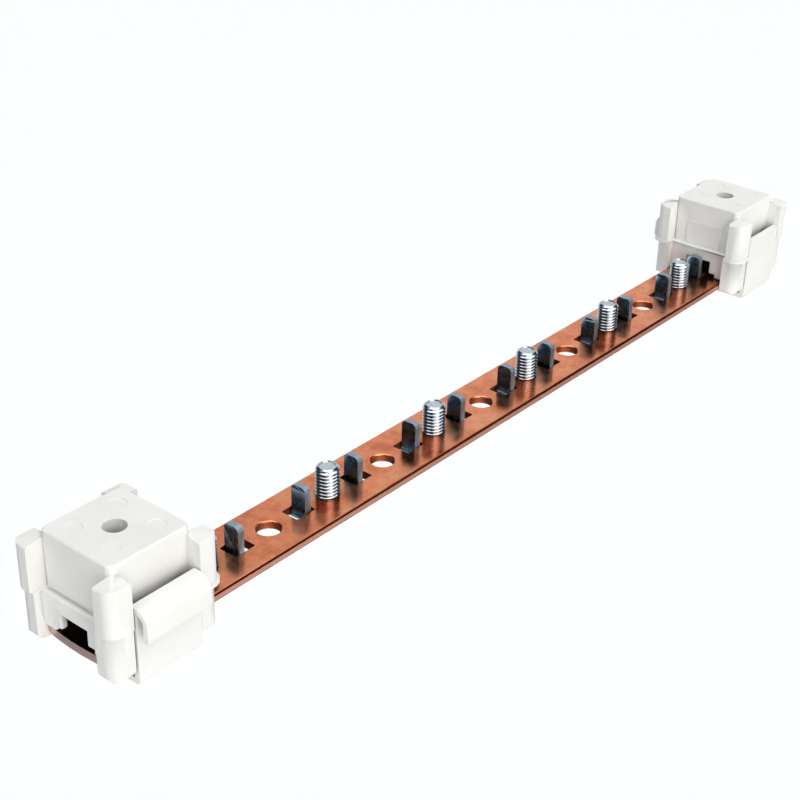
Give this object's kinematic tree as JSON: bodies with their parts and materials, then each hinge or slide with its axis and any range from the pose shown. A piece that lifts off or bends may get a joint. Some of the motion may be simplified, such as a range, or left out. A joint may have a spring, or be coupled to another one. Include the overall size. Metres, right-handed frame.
{
  "type": "earth terminal bar",
  "caption": "Flat copper earthing bar on square insulating stand-off supports, with threaded screws that pull steel saddle clamps against it and plain lug holes between them.",
  "frame": {"origin": "on the mounting face of the supports, midway between the two fixing holes", "axes": "+X along the bar, +Z out of the mounting faces towards the wall that carries the part, +Y across the bar"},
  "size_m": [0.3776, 0.0498, 0.0396],
  "materials": {
    "copper": "bright rolled copper",
    "zinc": "bright zinc plate",
    "steel": "dark blue-grey passivated steel",
    "plastic": "off-white moulded thermoplastic"
  },
  "bodies": {
    "bar_on_supports": {"copper_bar": "copper", "support_left": "plastic", "support_right": "plastic", "retainer_left": "plastic", "retainer_right": "plastic"},
    "saddle_1": {"saddle_1": "steel"},
    "terminal_screw_1": {"terminal_screw_1": "zinc"},
    "saddle_2": {"saddle_2": "steel"},
    "terminal_screw_2": {"terminal_screw_2": "zinc"},
    "saddle_3": {"saddle_3": "steel"},
    "terminal_screw_3": {"terminal_screw_3": "zinc"},
    "saddle_4": {"saddle_4": "steel"},
    "terminal_screw_4": {"terminal_screw_4": "zinc"},
    "saddle_5": {"saddle_5": "steel"},
    "terminal_screw_5": {"terminal_screw_5": "zinc"},
    "saddle_6": {"saddle_6": "steel"},
    "terminal_screw_6": {"terminal_screw_6": "zinc"}
  },
  "joints": [
    {"name": "saddle_slide_1", "type": "slide", "parent": "bar_on_supports", "child": "saddle_1", "axis": [0, 0, -1], "range_m": [0, 0.008]},
    {"name": "screw_turn_1", "type": "hinge", "parent": "saddle_1", "child": "terminal_screw_1", "pos_m": [-0.13625, 0, -0.036], "axis": [0, 0, -1], "range_deg": [0, 2304]},
    {"name": "saddle_slide_2", "type": "slide", "parent": "bar_on_supports", "child": "saddle_2", "axis": [0, 0, -1], "range_m": [0, 0.008]},
    {"name": "screw_turn_2", "type": "hinge", "parent": "saddle_2", "child": "terminal_screw_2", "pos_m": [-0.08175, 0, -0.036], "axis": [0, 0, -1], "range_deg": [0, 2304]},
    {"name": "saddle_slide_3", "type": "slide", "parent": "bar_on_supports", "child": "saddle_3", "axis": [0, 0, -1], "range_m": [0, 0.008]},
    {"name": "screw_turn_3", "type": "hinge", "parent": "saddle_3", "child": "terminal_screw_3", "pos_m": [-0.02725, 0, -0.036], "axis": [0, 0, -1], "range_deg": [0, 2304]},
    {"name": "saddle_slide_4", "type": "slide", "parent": "bar_on_supports", "child": "saddle_4", "axis": [0, 0, -1], "range_m": [0, 0.008]},
    {"name": "screw_turn_4", "type": "hinge", "parent": "saddle_4", "child": "terminal_screw_4", "pos_m": [0.02725, 0, -0.036], "axis": [0, 0, -1], "range_deg": [0, 2304]},
    {"name": "saddle_slide_5", "type": "slide", "parent": "bar_on_supports", "child": "saddle_5", "axis": [0, 0, -1], "range_m": [0, 0.008]},
    {"name": "screw_turn_5", "type": "hinge", "parent": "saddle_5", "child": "terminal_screw_5", "pos_m": [0.08175, 0, -0.036], "axis": [0, 0, -1], "range_deg": [0, 2304]},
    {"name": "saddle_slide_6", "type": "slide", "parent": "bar_on_supports", "child": "saddle_6", "axis": [0, 0, -1], "range_m": [0, 0.008]},
    {"name": "screw_turn_6", "type": "hinge", "parent": "saddle_6", "child": "terminal_screw_6", "pos_m": [0.13625, 0, -0.036], "axis": [0, 0, -1], "range_deg": [0, 2304]}
  ],
  "couplings": [
    {"joint": "screw_turn_1", "follows": "saddle_slide_1", "rad_per_m": 5026.5},
    {"joint": "screw_turn_2", "follows": "saddle_slide_2", "rad_per_m": 5026.5},
    {"joint": "screw_turn_3", "follows": "saddle_slide_3", "rad_per_m": 5026.5},
    {"joint": "screw_turn_4", "follows": "saddle_slide_4", "rad_per_m": 5026.5},
    {"joint": "screw_turn_5", "follows": "saddle_slide_5", "rad_per_m": 5026.5},
    {"joint": "screw_turn_6", "follows": "saddle_slide_6", "rad_per_m": 5026.5}
  ]
}
